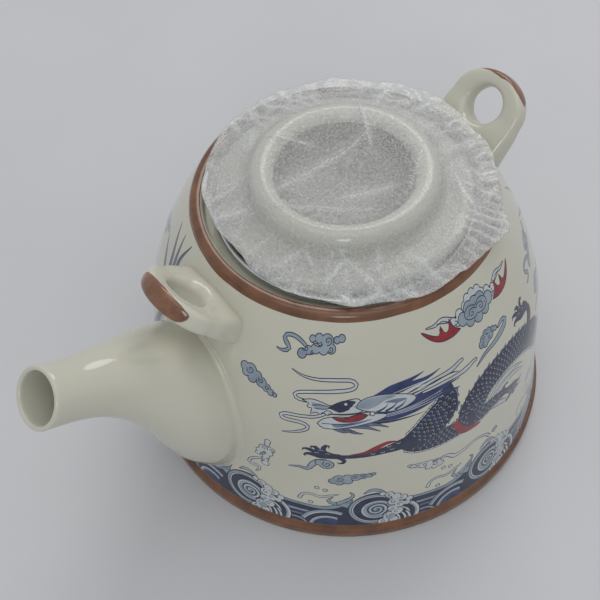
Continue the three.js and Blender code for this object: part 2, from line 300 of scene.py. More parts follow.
def dragon_head(pen):
    """The head in profile, with its whiskers, jaw and mane streaming back."""
    mane = [([(66, 66.6), (73, 69), (79, 70.3), (84.5, 71.8)], [1, 2.4, 1.6, 0.2]),
            ([(68, 66), (77, 68.4), (85, 69.2), (90.5, 70.6)], [1.4, 2.8, 1.6, 0.2]),
            ([(78, 65.4), (86, 67), (93, 67.2), (97, 66.2)], [1.4, 2.2, 1, 0.2]),
            ([(76, 62.4), (84, 64.2), (92, 64.6), (97.5, 64.4)], [1.6, 2, 1.2, 0.2]),
            ([(66, 59.8), (75, 60.6), (84, 62.4), (91, 63.6), (97, 63.8)], [1.6, 2.8, 2.4, 1.4, 0.2]),
            ([(64, 58.6), (74, 58.6), (83, 60.2), (90, 61.4), (96.5, 60.4)], [1.4, 2.6, 3, 2, 0.2])]
    for points, width in mane:
        pen.stroke(points, width, COBALT)
    for points in ([(79, 65.6), (87, 67.4), (94, 68), (98, 69.3), (99, 69.4)],
                   [(83, 64.4), (91, 65), (98.5, 65.2), (103.6, 66.4), (104.4, 66.4)]):
        pen.ribbon(points, [0.8, 1.2, 1.1, 1.6, 1], PALE)
    for shift in (0, 1.1, 2.3):
        pen.stroke([(70, 66.6 - shift * 0.3), (80, 68.1 - shift), (89, 68.6 - shift)], [0.1, 0.3, 0.1], PALE)
        pen.stroke([(68, 59.6 - shift * 0.4), (78, 60.6 - shift * 0.5), (90, 62.8 - shift)], [0.1, 0.3,
                                                                                              0.1], PALE)
    pen.stroke([(64, 57.4), (71, 56.8), (78, 56.9), (83.5, 57.1)], [0.9, 0.9, 0.6, 0.1], INK)
    # The beard and the lower jaw.
    for points in ([(59, 56.4), (64, 55.6), (68.4, 53.4)], [(57, 55.8), (60, 53.8), (63, 53)],
                   [(62, 57), (67, 56.4), (71, 54.6)], [(54, 55.6), (57, 54.2), (60.5, 54.4)]):
        pen.ribbon(points, [1.3, 1.1, 0.1], MIDDLE, 0.28)
    pen.shape([(48.6, 57), (50.4, 59), (54, 60), (59, 60), (64, 60.4), (68, 60.6), (71, 59.6), (68, 58),
               (63, 56.8), (58, 55.8), (54, 55.2), (50.4, 55.4)], PALE)
    pen.fill([(53, 57), (57, 57.4), (62, 58.2), (66, 58.8), (62, 57.4), (57, 56.2), (54, 55.9)], MIDDLE)
    pen.stroke([(50, 57.2), (54, 57.2), (60, 57.4)], 0.3)
    pen.fill([(53.2, 59.9), (55.4, 58.2), (59, 57.9), (62.6, 58.7), (64.6, 60.4), (62.5, 61.3), (59.5, 60.6),
              (57, 59.7)], INK)
    pen.fill([(53.8, 59.8), (55.8, 58.5), (59, 58.2), (62.4, 59), (63.9, 60.3), (62.3, 60.9), (59.6, 60.2),
              (57.2, 59.3)], RED)
    # The whiskers.
    pen.ribbon([(37.4, 50.8), (41, 51.7), (44.8, 53.5), (45.7, 55.2), (43.2, 56.4), (38.4, 56.5),
                (36.6, 57.4), (38.4, 58.7), (43, 58.9), (48, 59.5), (52.4, 61.6)], [0.1, 0.9, 1.2, 1.2, 1.2,
                                                                                    1.1, 1.1, 0.9], PALE)
    pen.ribbon([(39, 75.2), (43, 73.6), (48, 73), (54, 73.2), (59.4, 73.1), (61.2, 71.5), (59.4, 70),
                (54, 69.3), (47, 68.6), (42, 67.6), (40.7, 66.3), (42.4, 65.2), (45, 65)],
               [0.1, 0.8, 1.1, 1.2, 1.2, 1.3, 1.1, 1.1, 1], PALE)
    # The snout with its frilled nose and teeth.
    pen.shape([(43.4, 65.2), (46.6, 66), (50, 65.2), (53, 64.2), (57, 66), (62, 66.6), (63, 62.2), (58, 61.2),
               (53, 61), (51.6, 60.2), (50.6, 61.6), (49.2, 60.4), (48.2, 61.4), (46.2, 60.4), (46.8, 62.6),
               (44.8, 62.8), (45.8, 64.2)], PALE)
    pen.fill([(46.4, 64.6), (49.4, 64.6), (52.4, 63.4), (50, 62.6), (47.4, 63.2)], WASH)
    pen.stroke([(46.6, 63.6), (49.6, 64.2), (53, 63.4), (50, 62.6), (47.4, 62.8)], 0.32)
    pen.stroke([(50.6, 61.6), (52, 62.4), (53.4, 61.2)], 0.34)
    pen.stroke([(52, 61), (58, 60.9), (64, 61.6), (68, 61.2)], 0.45)
    # The eye under its brow.
    pen.fill([(52, 63.2), (54.6, 65.3), (57.6, 66.3), (60.8, 65.8), (60, 64.6), (58.6, 62.8), (55.4, 61.7)],
             INK)
    pen.disc(57.6, 64.9, 0.5, PALE)
    pen.disc(59.4, 63.2, 0.55, PALE)
    pen.fill([(59.8, 64), (62, 64.4), (61.6, 63)], WASH)
    # The forehead and cheek.
    pen.shape([(61, 63.4), (61.8, 65.4), (65, 67), (70, 67.3), (75, 66.5), (79.6, 65), (80.6, 63.2),
               (77.4, 61.4), (73.6, 60.6), (68.6, 61), (64, 62)], PALE)
    pen.fill([(61.4, 63.4), (62.2, 65.3), (65, 66.6), (70, 66.9), (74, 66.2), (70, 65), (67.6, 63.6),
              (64.4, 62.6)], WASH)
    pen.fill([(70, 64.4), (74, 65), (77.6, 64.2), (74, 63.4)], MIDDLE)
    for x in (67.5, 70.5, 73.5):
        pen.stroke([(x, 61.2), (x + 2.6, 62.4), (x + 3.8, 63.9)], [0.8, 0.6, 0.1], COBALT)
    pen.lobes([(66, 60.8, 0.8)], PALE)


def dragon(pen):
    """The dragon facing the spout, its body looping back round the pot to a tufted tail."""
    # The tail's tuft, then the body from the tail to the neck.
    for points in ([(184, 60), (186, 70), (183, 80), (186, 89)], [(184, 60), (180, 70), (176, 79), (170, 87)],
                   [(184, 60), (189, 68), (192, 76), (191, 84)], [(184, 58), (178, 66), (172, 72), (164, 77)],
                   [(185, 58), (182, 72), (180, 80), (178, 88)]):
        pen.ribbon(points, [1, 2.4, 1.8, 0.1], MIDDLE)
        pen.stroke(points, [0.1, 0.5, 0.1], INK)
    scaly_band(pen, [(136, 50), (143, 41), (150, 35), (158, 32), (167, 33), (175, 39), (181, 48),
                     (184.5, 59)], [10, 9.4, 9, 8, 6.6, 5, 3.2, 1.6])
    pen.stroke([(150, 37), (157, 44), (163, 46), (168, 44)], [6, 4.4, 2.6, 1.6], INK)
    claw(Pen(pen.marks, 173, 43, 1, 190))
    pen.stroke([(151, 41), (157, 46.4), (163, 47.4)], [0.2, 1.5, 0.2], RED)
    scaly_band(pen, [(98.5, 42), (100.5, 48.5), (106, 54), (114, 56.2), (122, 56), (130, 53.4), (137, 48.6)],
               [9, 11, 9.6, 9, 9.2, 9.6, 10])
    pen.stroke([(131, 53), (135, 57), (136.4, 61), (134.4, 64.4)], [5, 3.4, 2.6, 3], INK)
    pen.stroke([(135.4, 54.6), (137.6, 58.6), (137.8, 62)], [0.2, 1.5, 0.2], RED)
    claw(Pen(pen.marks, 132.5, 63.6, 1, -8))
    # The near foreleg reaching back under the first loop.
    for points in ([(108, 46), (114, 49.4), (121, 48.6), (127, 45)], [(109, 44), (116, 46.6), (122, 45.6),
                                                                      (128, 41.4)], [(107, 41), (113, 38.6),
                                                                                     (118, 35.6),
                                                                                     (124, 35.4)]):
        pen.ribbon(points, [1.2, 2.2, 1.6, 0.1], PALE)
    scaly_band(pen, [(98, 42.6), (104, 42.2), (110, 42.8), (115, 42)], [7.4, 7, 5.4, 4], 0)
    claw(Pen(pen.marks, 119.5, 39.6, 1.05, 160, 1))
    # The chest, the far foreleg and its claw.
    pen.stroke([(54, 42.2), (60, 42.2), (67, 43.4), (76, 45.6)], [1.8, 2, 3.2, 5.6], INK)
    for x, y in [(66, 43), (69, 43.2), (72, 44), (71, 45.6), (74, 46.4)]:
        pen.stroke([(x - 0.7, y + 0.3), (x, y - 0.3), (x + 0.7, y + 0.3)], 0.25, SCALE, 0.45)
    pen.fill([(58.6, 43.2), (63, 44.4), (66.4, 46.6), (70.4, 48.3), (73.6, 47.6), (70, 46.6), (67.2, 44.6),
              (63, 43)], RED)
    claw(Pen(pen.marks, 51.6, 42.6))
    scaly_band(pen, [(78.4, 44.4), (82, 42.6), (90, 42), (98, 42.8)], [7.4, 7.6, 7.6, 8])
    scaly_band(pen, [(91.5, 62), (90.4, 56), (85, 50), (79.4, 46)], [5, 10.4, 11, 8.8])
    pen.fill([(92.6, 45.2), (94.6, 46), (96.4, 42.6), (99, 39.4), (103.6, 38.2), (103.4, 36.8), (98, 37.2),
              (94.6, 39.6)], RED)
    dragon_head(pen)


def wave(pen):
    """One repeat of the breaking waves round the foot, with its eddy at x = 0."""
    pen.fill([(-9, -9), (-9, 1), (-5.6, 7), (0, 9.4), (6, 7.6), (11, 3.4), (18, 2.2), (27, 1.8), (32.4, 4),
              (35, -9)], INK)
    # Long swells behind, then the hill of concentric arcs.
    pen.ribbon([(10, 2.6), (17, 2), (25, 1.2), (30, 3), (33, 6)], [1.4, 1.2, 1.4, 2, 2.6], WASH)
    pen.ribbon([(11, -1), (17, -1.6), (22, -1.8), (27, 0)], [1.6, 1.4, 1.2, 1], WASH)
    pen.ribbon([(11, -4.4), (16, -3.8), (20, -4.6)], [1.4, 1.2, 1], MIDDLE)
    pen.target(26.5, -9.4, 30, [(9.9, INK), (9.5, WASH), (8.5, PALE), (8, INK), (6, PALE), (5.6, WASH),
                         (4.9, COBALT), (2.6, INK)])
    pen.target(15.8, -10.4, 24, [(5.2, INK), (4.6, WASH), (3.9, INK), (2.4, MIDDLE)])
    # The foam and the arcs that it breaks over.
    pen.target(6.6, -5.6, 26, [(8.4, INK), (8, PALE), (7.2, WASH), (6.6, INK), (4.8, PALE), (4.2, INK)])
    for x in (8, 9.9, 11.4):
        pen.ribbon([(x, -9.6), (x - 0.3, -6.6), (x - 1.4, -4.4)], [1, 1.1, 0.8], PALE)
    # The eddy.
    pen.target(-0.2, 0.2, 30, [(8.5, INK), (8.15, WASH), (7.4, INK), (7.2, PALE), (6.8, INK)])
    pen.disc(0.5, -0.3, 4.9, PALE, 26)
    pen.disc(0.6, -0.4, 4.5, WASH, 26)
    pen.curl(0.5, -0.3, 3.9, 300, 2.2, 0.55, INK)
    pen.curl(0.5, -0.3, 3.3, 290, 1.8, 0.5, PALE)
    pen.curl(0.5, -0.3, 2, 120, 1.2, 0.5, MIDDLE)
    foam = [(2.4, 8.2, 1.1), (4.6, 7.2, 1.5), (6.8, 5.6, 1.6), (9, 4, 1.6), (11.2, 2.4, 1.3), (6, 2.8, 2),
            (8, 0.6, 1.8), (5.6, -1, 1.7), (7.2, -3.2, 2), (4.6, -5, 2.2), (2.6, -7.8, 1.9), (6, -7.6, 1.6),
            (10.4, 0.4, 1.2)]
    pen.lobes(foam, PALE, 0.3)
    for x, y, radius, start in [(6, 2.8, 1.1, 100), (7.8, 0.6, 1, 0), (5.4, -1.2, 0.9, 200),
                                (7, -3.2, 1.1, 30), (4.6, -5, 1.3, 120), (8.8, 3.9, 0.9, 60),
                                (4.6, 7, 0.8, 90), (2.8, -7.6, 1, 80)]:
        pen.curl(x, y, radius, start, 1.1, 0.26)
    pen.fill([(3.4, -6.2), (5, -3.8), (6.4, -4.4), (6.2, -6.6), (4.6, -7.4)], WASH)
    # The spray.
    pen.ribbon([(17.4, 5.4), (18.6, 8), (21.4, 8.4), (24, 7.4), (27, 8.4), (30, 9.4)], [1.2, 1, 0.9, 1.1, 1,
                                                                                        0.2], PALE, 0.28)
    pen.ribbon([(33.4, 3), (30.4, 4), (27.4, 4.4), (26.6, 6), (28, 7.6)], [3, 2.4, 1.5, 1.1, 0.3], WASH, 0.28)
    pen.ribbon([(30, 4.4), (33, 6.6), (34.6, 9), (33.6, 10.4)], [1.8, 1.5, 1.1, 0.4], WASH, 0.28)
    pen.ribbon([(38, 9.6), (40.4, 11.2), (43, 10.4), (44.6, 8.8)], [0.4, 1.5, 1.3, 0.4], WASH, 0.28)
    for x, y in [(21, 3.8), (23, 12.4), (25.6, 11.4)]:
        pen.lobes([(x, y, 0.75)], PALE, 0.28)


WAVES = 10


def decoration():
    """All the marks on the sheet, from the lowest layer to the highest."""
    marks = []
    for i in range(WAVES):
        x = 25.5 + (i - 5) * GIRTH / WAVES
        wave(Pen(marks, x, 11.2))
    for half in (0, -GIRTH / 2):
        knotted_cloud(Pen(marks, half + 49, 84))
        running_cloud(Pen(marks, half + 27.6, 67.4, 0.98, -27))
        knotted_cloud(Pen(marks, half + 32, 37, 0.82, 62), PALE)
        running_cloud(Pen(marks, half + 59.6, 29.6, 0.95, 16))
        running_cloud(Pen(marks, half + 83.6, 29.4, 0.85, -24, -1), PALE)
        Pen(marks, half).ribbon([(86, 30), (91, 30), (94, 27.4), (98, 27.6), (103, 28.6), (107.4, 26.6),
                                 (109, 24.4)], [0.3, 1, 1.8, 1.5, 1.1, 1, 1.2], PALE)
        Pen(marks, half).lobes([(111.8, 25.2, 1.2)], WASH)
        Pen(marks, half).ribbon([(39.4, 33.6), (43, 34.4), (45.6, 34), (47, 36.6), (48.6, 38.6), (51, 38.8)],
                                [0.1, 1, 1.5, 1.8, 2.4, 3], WASH)
        Pen(marks, half).lobes([(51.6, 37.6, 2.4), (49.6, 38.4, 1.6)])
        Pen(marks, half).curl(51.7, 37.6, 1.5, 120)
        trailing_cloud(Pen(marks, half + 113.4, 69.4, 1, 4))
        great_cloud(Pen(marks, half + 110.6, 81.4))
        running_cloud(Pen(marks, half + 140, 28, 0.95, 10))
        trailing_cloud(Pen(marks, half + 152, 58, 1, 0))
        knotted_cloud(Pen(marks, half + 156, 72, 0.9, 8))
        running_cloud(Pen(marks, half + 182, 28, 0.9, -12), PALE)
        dragon(Pen(marks, half))
    return marks


# ---- Meshes ----

SHADES = {}


def place(points):
    """Millimetres about the pot's axis as points of the frame."""
    return (np.asarray(points, float) + [AXIS_X, 0, 0]) * MM


def new_object(name, points, faces, shades, slots=None, normals=None, smooth=True):
    """A mesh object from points in millimetres, with one shade or a shade for each face."""
    mesh = bpy.data.meshes.new(name)
    mesh.from_pydata(place(points).tolist(), [], faces)
    for shade in shades:
        mesh.materials.append(SHADES[shade])
    if slots is not None:
        mesh.polygons.foreach_set("material_index", np.asarray(slots, np.int32))
    mesh.polygons.foreach_set("use_smooth", [smooth] * len(mesh.polygons))
    mesh.update()
    if normals is not None:
        mesh.normals_split_custom_set_from_vertices(normals.tolist())
    made = bpy.data.objects.new(name, mesh)
    bpy.context.scene.collection.objects.link(made)
    return made


def stand_for(made, node, body):
    """Hides the CAD node that a piece stands for, and ties the piece to the body that it rides on."""
    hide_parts(node)
    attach(made, body)


def rings_to_faces(rings, count):
    """Quads between rings of count points, each ring closed on itself."""
    faces = []
    for i in range(rings - 1):
        for k in range(count):
            a, b = i * count + k, i * count + (k + 1) % count
            faces.append((a, b, b + count, a + count))
    return faces


def lathe(name, profile, turns, shades, slot_of=None):
    """A turned solid. The profile runs anticlockwise in (radius, height) and starts and ends on the axis,
    or joins up on itself when it doesn't start there."""
    profile = np.asarray(profile, float)
    angles = np.linspace(0, 2 * math.pi, turns, endpoint=False)
    on_axis = profile[0, 0] < 1e-6
    body = profile[1:-1] if on_axis else profile
    points = [(r * math.cos(a), r * math.sin(a), z) for r, z in body for a in angles]
    faces = rings_to_faces(len(body), turns)
    rows = [i for i in range(len(body) - 1) for _ in range(turns)]
    if on_axis:
        start, end = len(points), len(points) + 1
        points += [(0, 0, profile[0, 1]), (0, 0, profile[-1, 1])]
        last = (len(body) - 1) * turns
        for k in range(turns):
            after = (k + 1) % turns
            faces += [(start, after, k), (last + k, last + after, end)]
            rows += [0, len(body) - 2]
    else:
        last = (len(body) - 1) * turns
        for k in range(turns):
            after = (k + 1) % turns
            faces.append((last + k, last + after, after, k))
            rows.append(len(body) - 1)
    slots = None if slot_of is None else [slot_of(body[min(i, len(body) - 1)]) for i in rows]
    return new_object(name, np.array(points), faces, shades, slots)


# ---- Pot body ----

COLUMNS = 192
ROWS = 32
TONES = ["porcelain", "brown", "ink", "cobalt", "middle", "wash", "pale", "red", "scale"]


def brushed_edge(marks, y, inner, tone, seed):
    """A band of glaze whose edge at height y wavers as a brush leaves it. Its other edge is at inner."""
    chance = random.Random(seed)
    phases = [chance.uniform(0, 2 * math.pi) for _ in range(6)]
    x = np.linspace(-GIRTH / 2, GIRTH / 2, COLUMNS + 1)
    waver = sum(np.sin((3 + 5 * i) * x / WRAP_R + phase) / (2 + i) for i, phase in enumerate(phases))
    edge = np.column_stack([x, y + 0.16 * waver])
    edge[-1, 1] = edge[0, 1]
    for i in range(len(x) - 1):
        quad = np.array([edge[i], edge[i + 1], (x[i + 1], inner), (x[i], inner)])
        marks.append((quad if inner > y else quad[::-1], tone))


def inlaid_sheet():
    """The unrolled sheet cut up along every mark: its points, its triangles and their tones."""
    marks = decoration()
    brushed_edge(marks, SHEET_LOW + 1.1, SHEET_LOW - 9, BROWN, 3)
    brushed_edge(marks, SHEET_HIGH - 0.35, SHEET_HIGH + 9, BROWN, 5)
    x = np.linspace(-GIRTH / 2, GIRTH / 2, COLUMNS + 1)
    y = np.linspace(SHEET_LOW, SHEET_HIGH, ROWS + 1)
    grid = [(a, b) for b in y for a in x]
    edge = [(a, y[0]) for a in x] + [(x[-1], b) for b in y[1:]]
    edge += [(a, y[-1]) for a in x[-2::-1]] + [(x[0], b) for b in y[-2:0:-1]]
    shown = []
    for outline, tone in marks:
        shown.append((outline, tone))
        if outline[:, 0].min() < -GIRTH / 2:
            shown.append((outline + [GIRTH, 0], tone))
        if outline[:, 0].max() > GIRTH / 2:
            shown.append((outline - [GIRTH, 0], tone))
    points, loops = list(grid), []
    for loop in [edge, *[outline for outline, _ in shown]]:
        loops.append(list(range(len(points), len(points) + len(loop))))
        points += [tuple(p) for p in loop]
    cut, _, triangles, *_ = delaunay_2d_cdt([Vector(p) for p in points], [], loops, 1, 1e-5, True)
    cut = np.array([tuple(p) for p in cut])
    triangles = np.array(triangles)
    centre = cut[triangles].mean(axis=1)
    inside = (abs(centre[:, 0]) < GIRTH / 2) & (centre[:, 1] > SHEET_LOW) & (centre[:, 1] < SHEET_HIGH)
    return cut, triangles[inside], tones_at(centre[inside], shown)


def tones_at(spots, marks, cell=3):
    """The tone of the topmost mark over each spot of the sheet, found through a grid of cells."""
    tones = np.zeros(len(spots), int)
    cells = {}
    for i, key in enumerate(map(tuple, np.floor(spots / cell).astype(int))):
        cells.setdefault(key, []).append(i)
    cells = {key: np.array(members) for key, members in cells.items()}
    for outline, tone in marks:
        low = np.floor(outline.min(axis=0) / cell).astype(int)
        high = np.floor(outline.max(axis=0) / cell).astype(int)
        found = [cells[i, j] for i in range(low[0], high[0] + 1) for j in range(low[1], high[1] + 1)
                 if (i, j) in cells]
        if found:
            near = np.concatenate(found)
            tones[near[is_inside(spots[near], outline)]] = tone
    return tones


def is_inside(spots, outline):
    """Which spots an outline goes round."""
    start, end = outline, np.roll(outline, -1, axis=0)
    x, y = spots[:, :1], spots[:, 1:]
    across = (start[:, 1] > y) != (end[:, 1] > y)
    rise = np.where(end[:, 1] == start[:, 1], 1, end[:, 1] - start[:, 1])
    meets = start[:, 0] + (y - start[:, 1]) * (end[:, 0] - start[:, 0]) / rise
    return np.sum(across & (x < meets), axis=1) % 2 == 1


def weld(points, faces, tolerance=2e-4):
    """Joins points that lie together, and drops the faces that this closes up."""
    key = np.round(points / tolerance).astype(np.int64)
    _, first, same = np.unique(key, axis=0, return_index=True, return_inverse=True)
    same = same.reshape(-1)
    kept = []
    for face in faces:
        corners = [int(same[i]) for i in face]
        slim = [c for i, c in enumerate(corners) if c != corners[i - 1]]
        kept.append(slim if len(set(slim)) == len(slim) and len(slim) > 2 else None)
    return first, kept


def pot_body():
    """The pot as one closed skin, with the decoration inlaid in its outer wall."""
    cut, triangles, tone = inlaid_sheet()
    wall, wall_normals = on_wall(cut)
    first, kept = weld(wall, triangles)
    alive = [i for i, face in enumerate(kept) if face]
    faces = [kept[i] for i in alive]
    tones = [int(tone[i]) for i in alive]
    points, normals = list(wall[first]), list(wall_normals[first])
    sheet = cut[first]

    def edge_loop(y):
        ring = [i for i in range(len(sheet)) if abs(sheet[i, 1] - y) < 1e-4 and i in used]
        return sorted(ring, key=lambda i: math.atan2(points[i][1], points[i][0]))

    def run_on(loop, profile, tone_of, upwards):
        """Carries the skin on from a loop of the wall along a profile that ends on the axis."""
        angles = [math.atan2(points[i][1], points[i][0]) for i in loop]
        before = loop
        for r, z in profile[:-1]:
            ring = list(range(len(points), len(points) + len(loop)))
            points.extend((r * math.cos(a), r * math.sin(a), z) for a in angles)
            normals.extend([(0, 0, 0)] * len(loop))
            for k in range(len(loop)):
                j = (k + 1) % len(loop)
                quad = (before[k], before[j], ring[j], ring[k])
                faces.append(quad if upwards else quad[::-1])
                tones.append(tone_of(r, z))
            before = ring
        centre = len(points)
        points.append((0, 0, profile[-1][1]))
        normals.append((0, 0, 0))
        for k in range(len(loop)):
            tri = (before[k], before[(k + 1) % len(loop)], centre)
            faces.append(tri if upwards else tri[::-1])
            tones.append(PORCELAIN)

    used = {i for face in faces for i in face}
    lip = [*arc(45.5, RIM_Z - 2, 2, 12, 90, 6), *arc(44.8, RIM_Z - 1.4, 1.4, 96, 180, 6)]
    ledge = [(43.3, 90.6), *arc(42.6, 90.4, 0.7, 0, -90, 3), *arc(39.6, 88.9, 0.8, 90, 180, 3), (38.9, 86.2)]
    inside = [*catmull([(40.4, 85.4), (46, 84.5), (49.5, 80.5), (55.5, 67.5), (59.7, 52), (61.8, 28),
                        (62.2, 16)], 20)]
    floor = [*arc(56.2, 14, 6, 0, -90, 5), (40, 8), (20, 8), (0, 8)]
    run_on(edge_loop(SHEET_HIGH), [*lip, *ledge, *inside, *floor],
           lambda r, z: BROWN if r > 44 and z > 90 else PORCELAIN, True)
    groove = [(69.0, 5.6), (69.3, 5), (FOOT_R - 0.2, 4.6), (FOOT_R, 4.2), (FOOT_R, 2.4), (FOOT_R, 1.2),
              *arc(FOOT_R - 1, 1, 1, -15, -90, 4), (66.5, 0), (64.6, 0), (64, 0.4), (63.2, 1.8),
              (62.4, 2.6), (50, 2.9), (25, 3), (0, 3)]
    run_on(edge_loop(SHEET_LOW), groove, lambda r, z: BROWN if z > 0.25 and r > 66 else PORCELAIN, False)
    body = new_object("glazed_body", np.array(points), faces, TONES, tones, np.array(normals))
    body.data.validate()
    stand_for(body, "pot_body", "pot")


# ---- Spout ----

# Oval sections seen from the side: top x, top z, bottom x, bottom z and half width.
SPOUT_LIP_WALL, SPOUT_ROOT_WALL = 1.6, 3.2
SPOUT_FILLET = 1.8
SPOUT = [(-46, 66, -54, 12, 19), (-56, 71.5, -66, 12.5, 22), (-61, 74.5, -75, 24, 21.5),
         (-66, 77.3, -80, 36, 20), (-71.5, 80.8, -84, 48.5, 16.8), (-78, 84.2, -89, 60, 13.3),
         (-87, 88.2, -96.5, 70, 10.3), (-96, 91.8, -104.5, 76, 9.1), (-103.9, 96.2, -114.9, 81.4, 9.2)]


def spout_skin(t, angle, inset=0):
    """Points of the spout's skin at shares t of its length and angles round it from its top."""
    fine = catmull(SPOUT, 800)
    at = [np.interp(t, np.linspace(0, 1, len(fine)), fine[:, i]) for i in range(5)]
    top, bottom = np.stack([at[0], at[1]], -1), np.stack([at[2], at[3]], -1)
    middle, rise = (top + bottom) / 2, (top - bottom) / 2
    rise = rise - unit(rise) * inset
    here = middle + rise * np.cos(angle)[..., None]
    return np.stack([here[..., 0], (at[4] - inset) * np.sin(angle), here[..., 1]], -1)


def filleted(points, axis_points, radius):
    """Spreads a skin that meets the pot's wall into a fillet that runs out onto the wall."""
    gap = outside_wall(points)
    out = unit(points - axis_points)
    around = np.column_stack([points[:, 0], points[:, 1], 0 * points[:, 2]])
    wall = unit(around)
    out = unit(out - wall * np.sum(out * wall, axis=1, keepdims=True))
    near = np.clip(radius - gap, 0, radius)
    return points + out * (radius - np.sqrt(np.maximum(radius ** 2 - near ** 2, 0)))[:, None]


def spout():
    """The spout, with a fillet where it is luted to the wall and a rounded lip."""
    around, along = 72, 64
    angles = np.linspace(0, 2 * math.pi, around, endpoint=False)
    root = np.zeros(around)
    for step in np.linspace(0.02, 0.6, 900):
        gap = outside_wall(spout_skin(np.full(around, step), angles))
        root = np.where((root == 0) & (gap > 0), step, root)
    rings = []
    for i in range(along + 1):
        share = (i / along) ** 1.8
        t = root + (1 - root) * share
        skin = spout_skin(t, angles)
        middle = (spout_skin(t, 0 * angles) + spout_skin(t, 0 * angles + math.pi)) / 2
        rings.append(filleted(skin, middle, SPOUT_FILLET))
    rings.insert(0, rings[0] - 1.2 * unit(rings[0] * [1, 1, 0]))
    lip_out = unit(np.array([SPOUT[-1][2] - SPOUT[-2][2], 0, SPOUT[-1][3] - SPOUT[-2][3]], float))
    outer, inner = spout_skin(np.ones(around), angles), spout_skin(np.ones(around), angles, SPOUT_LIP_WALL)
    for turn in np.radians([36, 72, 108, 144]):
        across = (outer - inner) / 2 * math.cos(turn)
        rings.append((outer + inner) / 2 + across + lip_out * SPOUT_LIP_WALL / 2 * math.sin(turn))
    for t in np.linspace(1, 0.22, 40):
        wall = SPOUT_LIP_WALL + (SPOUT_ROOT_WALL - SPOUT_LIP_WALL) * (1 - t)
        rings.append(spout_skin(np.full(around, t), angles, wall))
    points = np.concatenate(rings)
    faces = [face[::-1] for face in rings_to_faces(len(rings), around)]
    last = (len(rings) - 1) * around
    faces.append(list(range(last, last + around))[::-1])
    faces.append(list(range(around)))
    made = new_object("glazed_spout", points, faces, ["porcelain"])
    stand_for(made, "spout", "pot")


# ---- Lugs ----

LUG_TILT = 0.84
LUG_EYE = (61.1, 91.8)
LUG_EYE_R = 6.1


def ear_reach(angle):
    """How far the ear's outline is from its eye's centre, upright with the root below."""
    side, top = 13.8, 11.4
    upper = 1 / np.sqrt((np.cos(angle) / side) ** 2 + (np.maximum(np.sin(angle), 0) / top) ** 2)
    down = np.maximum(-np.sin(angle), 1e-6)
    lower = np.minimum(side * 1.04 / np.maximum(abs(np.cos(angle)), 0.05), 19 / down)
    share = np.clip(-np.sin(angle) / 0.35, 0, 1)
    share = share * share * (3 - 2 * share)
    return upper * (1 - share) + lower * share


def lug(name, side):
    """An ear with a round eye, fuller towards its root, with brown glaze on its top."""
    around, across = 128, 40
    points, dab = [], []
    for i in range(around):
        a = 2 * math.pi * i / around
        reach = float(ear_reach(np.array(a)))
        rootward = max(0.0, -math.sin(a))
        half_thick = 3.2 + 2.9 * rootward ** 1.5
        middle, half = (reach + LUG_EYE_R) / 2, (reach - LUG_EYE_R) / 2
        for k in range(across):
            b = 2 * math.pi * k / across
            c, s = math.cos(b), math.sin(b)
            radial = middle + half * math.copysign(abs(c) ** 0.62, c)
            thick = half_thick * math.copysign(abs(s) ** 0.6, s)
            points.append((radial * math.cos(a), radial * math.sin(a), thick))
            dab.append(math.sin(a) * 0.55 + 0.75 * c - abs(math.cos(a)) * 0.35)
    points = np.array(points)
    up = np.array([math.cos(LUG_TILT), 0, math.sin(LUG_TILT)])
    face = np.array([-math.sin(LUG_TILT), 0, math.cos(LUG_TILT)])
    placed = np.outer(points[:, 1], up) + np.outer(points[:, 0], [0, 1, 0]) + np.outer(points[:, 2], face)
    placed += [LUG_EYE[0], 0, LUG_EYE[1]]
    if side < 0:
        placed = placed * [-1, -1, 1]
    faces = []
    for i in range(around):
        for k in range(across):
            a, b = i * across + k, i * across + (k + 1) % across
            c, d = ((i + 1) % around) * across + (k + 1) % across, ((i + 1) % around) * across + k
            faces.append((a, d, c, b))
    made = new_object(name, placed, faces, ["tipped"])
    layer = made.data.attributes.new("dab", "FLOAT", "POINT")
    layer.data.foreach_set("value", np.array(dab, np.float32))
    stand_for(made, "front_lug" if side < 0 else "rear_lug", "pot")


# ---- Infuser ----

def perforated(name, outline, holes, to_space, thickness, body, node):
    """A sheet with round holes: a flat outline and its holes, put in space by to_space(points, depth)."""
    loops, points = [], []
    for loop in [outline, *holes]:
        loops.append(list(range(len(points), len(points) + len(loop))))
        points += [tuple(p) for p in loop]
    cut, _, triangles, _, _, owners = delaunay_2d_cdt([Vector(p) for p in points], [], loops, 1, 1e-5, True)
    flat = np.array([tuple(p) for p in cut])
    solid = [tri for tri, owner in zip(triangles, owners) if owner == [0]]
    count = len(flat)
    points = np.concatenate([to_space(flat, 0), to_space(flat, thickness)])
    faces = [tuple(tri[::-1]) for tri in solid] + [tuple(i + count for i in tri) for tri in solid]
    sides = {}
    for tri in solid:
        for i in range(3):
            a, b = tri[i], tri[(i + 1) % 3]
            sides[(a, b)] = True
    for a, b in [side for side in sides if (side[1], side[0]) not in sides]:
        faces.append((a, b, b + count, a + count))
    first, kept = weld(points, faces)
    made = new_object(name, points[first], [f for f in kept if f], ["steel"], smooth=False)
    stand_for(made, node, body)
    return made


